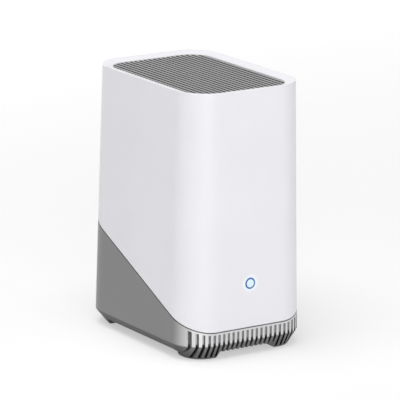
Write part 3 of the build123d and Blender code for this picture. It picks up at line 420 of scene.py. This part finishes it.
# %% Metals and boards
finish("zinc_sheet", (0.50, 0.51, 0.53), (0.62, 0.63, 0.65), (0.28, 0.42),
       effect=brushed_streak, Metallic=1.0)
finish("port_metal", (0.55, 0.56, 0.57), (0.66, 0.67, 0.68), (0.22, 0.34),
       effect=brushed_streak, Metallic=1.0)
finish("heat_sink", (0.62, 0.63, 0.64), (0.72, 0.73, 0.74), (0.30, 0.42),
       effect=brushed_streak, Metallic=1.0)
finish("screw_steel", (0.30, 0.30, 0.31), (0.42, 0.42, 0.43), (0.25, 0.38), Metallic=1.0)
finish("brass", (0.62, 0.45, 0.20), (0.74, 0.56, 0.28), (0.25, 0.36), Metallic=1.0)
finish("gold_contact", (0.78, 0.56, 0.22), (0.88, 0.66, 0.30), (0.18, 0.28), Metallic=1.0)
finish("antenna_film", (0.55, 0.28, 0.12), (0.66, 0.36, 0.16), (0.25, 0.36), Metallic=1.0)
finish("circuit_board", (0.010, 0.085, 0.045), (0.016, 0.120, 0.062), (0.28, 0.40), bump=0.1,
       Coat_Weight=0.4)
print("finishes", len(finishes))

# %% [markdown]
# ## Painted shade on one side of a step
# Three finishes get painted shade beyond a step. The walls of the grille's slats are painted dark
# below the tops, as the shade in the gaps between them. The slope of the base's underside is
# painted darker, as the shade under the base. The sockets keep their bright metal at the mouths
# and are painted dark inside, as the shade in the recess. Two materials on one piece would need
# the faces picked apart, so one helper mixes black into a finish by a soft step along a direction.

# %% Darken a finish before a step
up_way = (0, 0, 1)
rear_way = (0, 1, 0)
slat_top_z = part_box("top_grille")[1].z
# Below the slat tops the walls get painted shade.
slat_shade_depth = 0.14 * MM
slat_shade_fade = 0.12 * MM
wall_shade = 0.06
# The slope under the fins gets painted shade.
slope_end_z = 10.2 * MM
fin_start_z = 11.4 * MM
slope_shade = 0.34
# Inside the socket mouths the metal gets painted shade.
socket_mouth_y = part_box("lan_socket")[1].y
mouth_start = 2.4 * MM
mouth_end = 0.5 * MM
socket_shade = 0.05


def darker_before(name, way, low, high, share):
    """Mixes a finish with black up to a distance along a way, softly between low and high."""
    tree = finishes[name].node_tree
    colour = tree.nodes["Principled BSDF"].inputs["Base Color"]
    along = vector_step(tree, "DOT_PRODUCT", object_place(tree), way)
    step = ramp(tree, along, low, high, share)
    tree.links.new(mixed(tree, step, black, colour.links[0].from_socket), colour)


darker_before("grille_grey", up_way, slat_top_z - slat_shade_depth,
              slat_top_z - slat_shade_depth + slat_shade_fade, wall_shade)
darker_before("grey_base", up_way, slope_end_z, fin_start_z, slope_shade)
darker_before("port_metal", rear_way, socket_mouth_y - mouth_start, socket_mouth_y - mouth_end,
              socket_shade)
print("slat tops at", round(slat_top_z / MM, 1), "mm")

# %% [markdown]
# ## A painted highlight on the fins of the base
# The base's grey turns to a bright silver where the sides round into the finned front. This silver
# is a painted highlight. Less of it is painted on the slope below the fins and on the floors of
# the slots between them, which is painted shade there.
# A mask of three soft steps says where: along the depth, over the height, and by the distance from
# an inner block that is one corner radius smaller than the base, which is greatest on the outside.
# Painting the mask by hand would need a texture, and these steps need only a few sizes.

# %% A mask for the painted highlight
# Where the painted highlight starts and is full, and how much of it the slope and the slot floors
# keep, which is painted shade there.
highlight_start_y = front_y + 22.5 * MM
highlight_full_y = front_y + 5 * MM
highlight_on_slope = 0.27
highlight_in_slot = 0.70
slot_shallow = 1.9 * MM
slot_deep = 2.15 * MM
inner_block = (base_half_width - corner_radius, -front_y - corner_radius, 1)

base_tree = finishes["grey_base"].node_tree
base_place = object_place(base_tree)
base_axes = base_tree.nodes.new("ShaderNodeSeparateXYZ")
base_tree.links.new(base_place, base_axes.inputs["Vector"])

from_block = vector_step(base_tree, "ABSOLUTE", base_place)
from_block = vector_step(base_tree, "SUBTRACT", from_block, inner_block)
from_block = vector_step(base_tree, "MAXIMUM", from_block, (0, 0, 0))
from_block = vector_step(base_tree, "LENGTH", from_block)

forward_mask = ramp(base_tree, base_axes.outputs["Y"], highlight_start_y, highlight_full_y,
                    smooth=True)
height_mask = ramp(base_tree, base_axes.outputs["Z"], slope_end_z, fin_start_z,
                   highlight_on_slope, smooth=True)
outside_mask = ramp(base_tree, from_block, corner_radius - slot_deep,
                    corner_radius - slot_shallow, highlight_in_slot, smooth=True)
painted_highlight_mask = combined(base_tree, "MULTIPLY", forward_mask, height_mask)
painted_highlight_mask = combined(base_tree, "MULTIPLY", painted_highlight_mask, outside_mask)
print("silver from y", round(highlight_start_y / MM, 1), "to", round(highlight_full_y / MM, 1), "mm")

# %% [markdown]
# ## The painted highlight, and the shade of the joint
# The mask now mixes the painted highlight, a silver tone, into the grey. On the real object the
# base's upper edge stands in the shade of the sleeve, and the joint is read as a thin dark line. A
# render at a usual size would lose most of so narrow a gap, so the edge itself is shaded too, by
# the same helper as before, with its step square to the slanted joint.

# %% Mix in the painted highlight, and shade the upper edge
# The silver tone below is the colour of the painted highlight.
painted_highlight = (0.600, 0.600, 0.605, 1)
seam_edge = 0.30 * MM
seam_fade = 0.15 * MM
seam_shade = 0.40

base_colour = base_tree.nodes["Principled BSDF"].inputs["Base Color"]
base_grey = base_colour.links[0].from_socket
base_tree.links.new(mixed(base_tree, painted_highlight_mask, base_grey, painted_highlight), base_colour)

down_from_seam = Vector((0, math.sin(seam_angle), -math.cos(seam_angle)))
seam_end = down_from_seam.dot(Vector((0, front_y, seam_front_z))) + seam_edge
darker_before("grey_base", down_from_seam, seam_end, seam_end + seam_fade, seam_shade)
print("joint shaded over", round((seam_edge + seam_fade) / MM, 2), "mm")

# %% [markdown]
# ## A faint glow around the light ring
# The white plastic round the ring lets a little of its light through, so a thin pale halo shows
# there. Light that really passes through plastic is slow to render and noisy. Here the distance
# from the ring's centre gives a mask, and the mask feeds the colour of a weak emission.

# %% Halo in the white plastic
ring_low, ring_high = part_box("light_ring")
ring_z = (ring_low.z + ring_high.z) / 2
halo_start = 4.0 * MM
halo_end = 7.5 * MM
halo_colour = (0.070, 0.130, 0.140, 1)

shell_tree = finishes["white_shell"].node_tree
shell_shader = shell_tree.nodes["Principled BSDF"]
from_ring = vector_step(shell_tree, "SUBTRACT", object_place(shell_tree), (0, front_y, ring_z))
from_ring = vector_step(shell_tree, "LENGTH", from_ring)
halo = ramp(shell_tree, from_ring, halo_start, halo_end, 1.0, 0.0, smooth=True)
shell_tree.links.new(mixed(shell_tree, halo, black, halo_colour),
                     shell_shader.inputs["Emission Color"])
shell_shader.inputs["Emission Strength"].default_value = 1.0
print("ring at height", round(ring_z / MM, 1), "mm")

# %% [markdown]
# ## Dress the pieces of the frame
# Most pieces, such as boards, screws and sockets, already have their true shape. They could be
# modelled again, but nothing about them would look better. So they keep their shape, and only
# their material slots change: the record names one finish for each piece.

# %% Put the finishes on
for part in frame["record"]["subparts"]:
    for material_slot in nodes[part["node"]].material_slots:
        material_slot.material = finishes[part["material_slot"]]

# %% [markdown]
# ## Tools for modelling
# A few helpers do what a modeller does by hand: take one piece, pick vertices, edges or faces by
# their place, apply a modifier, and cut one body with another. Each leaves nothing else selected,
# because an operator acts on all that is selected.

# %% Taking, picking and cutting


def start_clean():
    """Leaves edit mode and deselects everything."""
    if bpy.context.object and bpy.context.object.mode != "OBJECT":
        bpy.ops.object.mode_set(mode="OBJECT")
    bpy.ops.object.select_all(action="DESELECT")


def take(piece):
    """Selects one piece alone and makes it active."""
    start_clean()
    bpy.context.view_layer.objects.active = piece
    piece.select_set(True)


def pick(kind, test):
    """In edit mode, selects only the vertices, edges or faces that pass the test."""
    bpy.ops.mesh.select_mode(type={"verts": "VERT", "edges": "EDGE", "faces": "FACE"}[kind])
    bpy.ops.mesh.select_all(action="DESELECT")
    mesh = bmesh.from_edit_mesh(bpy.context.object.data)
    for element in getattr(mesh, kind):
        if test(element):
            element.select_set(True)
    mesh.select_flush_mode()
    bmesh.update_edit_mesh(bpy.context.object.data)


def apply_modifier(piece, kind, **values):
    """Adds one modifier to a piece and applies it."""
    take(piece)
    modifier = piece.modifiers.new(kind.lower(), kind)
    for name, value in values.items():
        setattr(modifier, name, value)
    bpy.ops.object.modifier_apply(modifier=modifier.name)


def cut(piece, cutter):
    """Cuts a piece with another and deletes the cutter."""
    apply_modifier(piece, "BOOLEAN", object=cutter, operation="DIFFERENCE", solver="EXACT")
    bpy.data.objects.remove(cutter)


def place_fixed():
    """Moves the active object's place, turn and size into its mesh."""
    bpy.ops.object.transform_apply(location=True, rotation=True, scale=True)


print("modelling tools", [tool.__name__ for tool in (take, pick, apply_modifier, cut)])

# %% [markdown]
# ## The outline of the body
# Seen from above, the body is a rectangle with large rounded corners. It is widest just above the
# base's slope and a little narrower at the top, and its front and rear lean in slightly. A cube
# whose upright edges are bevelled gives the corners, and moving its top vertices gives the taper.
# Scaling the top face as a whole would draw in all its sides alike, and here each leans by its
# own amount.

# %% A body with the rounded, tapering outline
band_z = 10.5 * MM
top_half_width = 47.5 * MM
front_lean = 0.5 * MM
rear_lean = 2.5 * MM
corner_segments = 24
level_within = 0.03 * MM


def half_width(z):
    """Half the body's width at a height."""
    share = (z - band_z) / (body_height - band_z)
    return base_half_width + (top_half_width - base_half_width) * share


def front_and_rear(z):
    """Where the body's front and rear are at a height."""
    share = (z - band_z) / (body_height - band_z)
    return front_y + front_lean * share, rear_y - rear_lean * share


def rounded_body(name, low_z, high_z, inset=0.0):
    """A closed body between two heights, with the outline drawn in by an inset."""
    front, rear = front_and_rear(low_z)
    top_front, top_rear = front_and_rear(high_z)
    middle_y = (front + rear) / 2
    middle_z = (low_z + high_z) / 2
    widening = half_width(high_z) - half_width(low_z)
    start_clean()
    bpy.ops.mesh.primitive_cube_add(
        size=1, location=(0, middle_y, middle_z),
        scale=(2 * (half_width(low_z) - inset), rear - front - 2 * inset, high_z - low_z))
    body = bpy.context.object
    body.name = name
    place_fixed()
    bpy.ops.object.mode_set(mode="EDIT")
    pick("edges", lambda edge: abs(edge.verts[0].co.z - edge.verts[1].co.z) > level_within)
    bpy.ops.mesh.bevel(offset=corner_radius - inset, offset_type="OFFSET",
                       segments=corner_segments, affect="EDGES")
    for side in (-1, 1):
        pick("verts", lambda v: v.co.z > middle_z and v.co.x * side > 0)
        bpy.ops.transform.translate(value=(side * widening, 0, 0))
    pick("verts", lambda v: v.co.z > middle_z and v.co.y < middle_y)
    bpy.ops.transform.translate(value=(0, top_front - front, 0))
    pick("verts", lambda v: v.co.z > middle_z and v.co.y > middle_y)
    bpy.ops.transform.translate(value=(0, top_rear - rear, 0))
    bpy.ops.object.mode_set(mode="OBJECT")
    return body


print("outline", round(2 * base_half_width / MM, 1), "mm wide, at the top",
      round(2 * top_half_width / MM, 1), "mm")

# %% [markdown]
# ## The white sleeve
# On the real object the sleeve is one deep moulding: tapering walls, a narrow rim, and a roof that
# dips towards the grille. It could be cut out of a block, but a modeller insets and extrudes: the
# rim, the dish and the ledge for the grille all grow out of the body's top face.

# %% Rim, dish and ledge
rim_width = 1.2 * MM
dish_inset = 7.6 * MM
dish_depth = 1.9 * MM
ledge_z = 184.7 * MM
ledge_width = 2.2 * MM
collar_low_z = 182.7 * MM
overrun = 3.0 * MM
facing_up = 0.9


def extrude_by(rise):
    """Extrudes the selected faces straight up or down."""
    bpy.ops.mesh.extrude_region_move(TRANSFORM_OT_translate={"value": (0, 0, rise)})


sleeve = rounded_body("white_sleeve", band_z, body_height)
bpy.ops.object.mode_set(mode="EDIT")
pick("faces", lambda face: face.normal.z > facing_up)
bpy.ops.mesh.inset(thickness=rim_width)
bpy.ops.mesh.inset(thickness=dish_inset - rim_width, depth=-dish_depth)
extrude_by(ledge_z - body_height + dish_depth)
bpy.ops.mesh.inset(thickness=ledge_width)
extrude_by(collar_low_z - overrun - ledge_z)
bpy.ops.object.mode_set(mode="OBJECT")
print("sleeve faces", len(sleeve.data.polygons))

# %% [markdown]
# ## The hollow of the sleeve
# The sleeve is a shell of even thickness, open at the bottom, with a collar under the roof that
# holds the grille. A Solidify modifier would thicken the rim and the dish as well. A second body,
# one wall smaller, is cut out instead, and the collar is first cut out of that body.

# %% Cut the hollow
wall = 2.4 * MM
roof_under_z = 186.6 * MM
collar_inset = 5.6 * MM

hollow = rounded_body("hollow", band_z - overrun, roof_under_z, inset=wall)
cut(hollow, rounded_body("collar", collar_low_z, body_height, inset=collar_inset))
cut(sleeve, hollow)
print("sleeve faces", len(sleeve.data.polygons))

# %% [markdown]
# ## The slanted joint
# The sleeve ends in a slanted plane that falls towards the front, and meets the base there with a
# thin gap. Bisect could cut at the plane, and the open wall would then have to be filled. A large
# block whose top face is that plane leaves the wall closed. The block is lifted by the gap.

# %% Cut the sleeve at the joint
seam_gap = 0.3 * MM
wedge_size = 400 * MM

start_clean()
bpy.ops.mesh.primitive_cube_add(size=wedge_size, location=(0, 0, -wedge_size / 2))
wedge = bpy.context.object
seam_lift = -down_from_seam * seam_gap
wedge.matrix_world = (Matrix.Translation(Vector((0, front_y, seam_front_z)) + seam_lift)
                      @ Matrix.Rotation(seam_angle, 4, "X")
                      @ Matrix.Translation((0, 0, -wedge_size / 2)))
place_fixed()
cut(sleeve, wedge)
print("sleeve ends at", round(min(v.co.z for v in sleeve.data.vertices) / MM, 1), "mm")

# %% [markdown]
# ## The hole of the light ring
# The ring sits in a round hole in the front wall. A cylinder with many sides is laid on its side
# and cut out, as a drill would do it. It is only as long as it needs to be, so that it misses the
# rear wall.

# %% Drill the hole
ring_radius = 4.05 * MM
hole_sides = 64

start_clean()
bpy.ops.mesh.primitive_cylinder_add(
    vertices=hole_sides, radius=ring_radius, depth=4 * wall,
    location=(0, front_y + wall, ring_z), rotation=(math.radians(90), 0, 0))
ring_drill = bpy.context.object
place_fixed()
cut(sleeve, ring_drill)
print("hole", round(2 * ring_radius / MM, 1), "mm wide")

# %% [markdown]
# ## Round and finish the sleeve
# A moulded piece has no sharp edges, and a small rounding catches the light along the rim, the
# joint and the hole. These edges could be picked one by one, but the Bevel modifier finds them
# all by their angle. Weighted normals then keep the large faces flat beside the small ones. The
# finished piece stands for the frame's sleeve.

# %% Round the sleeve's edges
edge_round = 0.35 * MM
edge_angle = math.radians(35)
flat_weight = 80


def rounded_edges(piece, width, segments):
    """Rounds the sharp edges, then shades the piece smooth with its flat faces kept flat."""
    apply_modifier(piece, "BEVEL", width=width, segments=segments, limit_method="ANGLE",
                   angle_limit=edge_angle)
    take(piece)
    bpy.ops.object.shade_smooth_by_angle(angle=edge_angle)
    apply_modifier(piece, "WEIGHTED_NORMAL", keep_sharp=True, weight=flat_weight)


def give_finish(piece, slot_name):
    """Gives a piece one finish, and prints how many triangles its faces make."""
    piece.data.materials.clear()
    piece.data.materials.append(finishes[slot_name])
    print(piece.name, "triangles", sum(len(face.vertices) - 2 for face in piece.data.polygons))


rounded_edges(sleeve, edge_round, segments=3)
give_finish(sleeve, "white_shell")
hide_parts("housing_shell")
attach(sleeve, "housing")

# %% [markdown]
# ## Moulded pieces with soft edges
# The base, the tray, the grille, the button and the pads already have their true shape in the
# frame, but a machine-sharp edge never catches the light as a moulded one does. A frame piece is
# never changed, so each gets a copy. Its loose triangles are merged and its flat areas joined,
# because a bevel needs whole faces, and then its edges are rounded.

# %% Soften the edges of a copied piece
merge_distance = 0.002 * MM
flat_angle = math.radians(0.4)


def softened(node, width, segments=2):
    """A copy of a node with rounded edges, which stands for the node."""
    record = frame["record"]
    bodies = record["behaviour"]["bodies"]
    slot_name = next(part["material_slot"] for part in record["subparts"] if part["node"] == node)
    piece = bpy.data.objects.new(node + "_soft", nodes[node].data.copy())
    bpy.context.scene.collection.objects.link(piece)
    take(piece)
    bpy.ops.object.mode_set(mode="EDIT")
    bpy.ops.mesh.select_all(action="SELECT")
    bpy.ops.mesh.remove_doubles(threshold=merge_distance)
    bpy.ops.mesh.dissolve_limited(angle_limit=flat_angle)
    bpy.ops.object.mode_set(mode="OBJECT")
    rounded_edges(piece, width, segments)
    give_finish(piece, slot_name)
    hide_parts(node)
    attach(piece, next(body for body, names in bodies.items() if node in names))


softened("base_shell", 0.20 * MM)
softened("drive_tray", 0.20 * MM)
softened("top_grille", 0.30 * MM, segments=3)
softened("sync_button", 0.15 * MM)
softened("foot_pads", 0.20 * MM)
